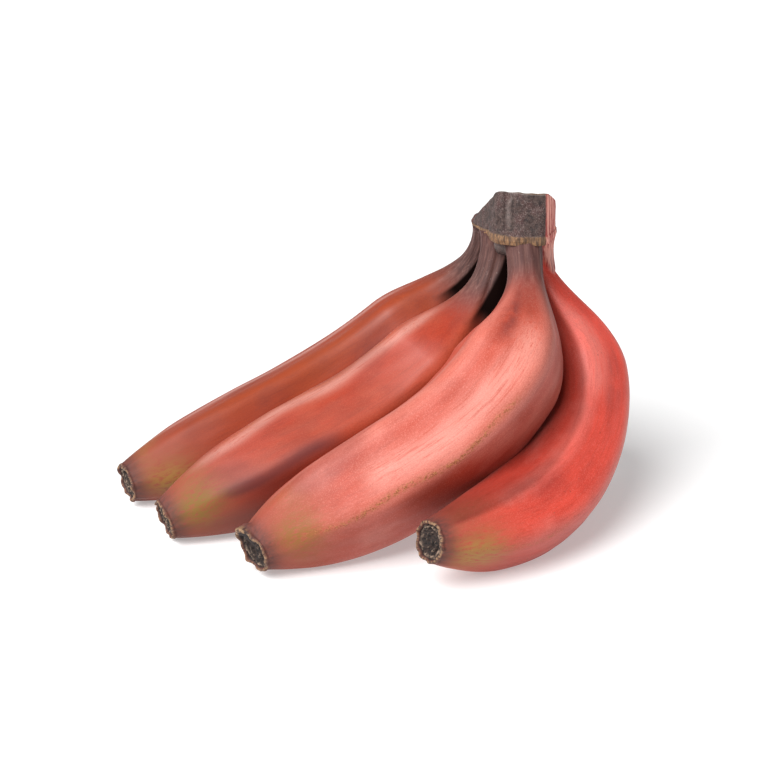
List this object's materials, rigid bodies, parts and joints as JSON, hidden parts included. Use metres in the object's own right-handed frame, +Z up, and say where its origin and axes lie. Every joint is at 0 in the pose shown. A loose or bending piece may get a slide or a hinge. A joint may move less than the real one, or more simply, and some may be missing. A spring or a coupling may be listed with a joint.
{
  "type": "red banana hand",
  "caption": "Hand of plump, curved red bananas joined at a dark cut crown, lying on their tips with the crown raised.",
  "frame": {"origin": "on the surface that the hand lies on, under the middle of its bounding box", "axes": "+Z up, +X along the hand's longest extent with the crown on the +X side, +Y towards the back of the hand"},
  "size_m": [0.2015, 0.1605, 0.1223],
  "materials": {
    "peel_far_left": "satin red-brown banana peel, greyer at the stalk and olive at the flower end",
    "peel_second": "satin red banana peel, greyer at the stalk and olive at the flower end",
    "peel_front": "satin salmon-red banana peel, greyer at the stalk and olive at the flower end",
    "peel_right": "satin bright red banana peel, greyer at the stalk and olive at the flower end",
    "crown": "dry, rough, grey-brown cut crown with a tan rim"
  },
  "bodies": {
    "root": {"banana_far_left": "peel_far_left", "banana_second": "peel_second", "banana_front": "peel_front", "banana_right": "peel_right", "crown": "crown"}
  },
  "joints": []
}
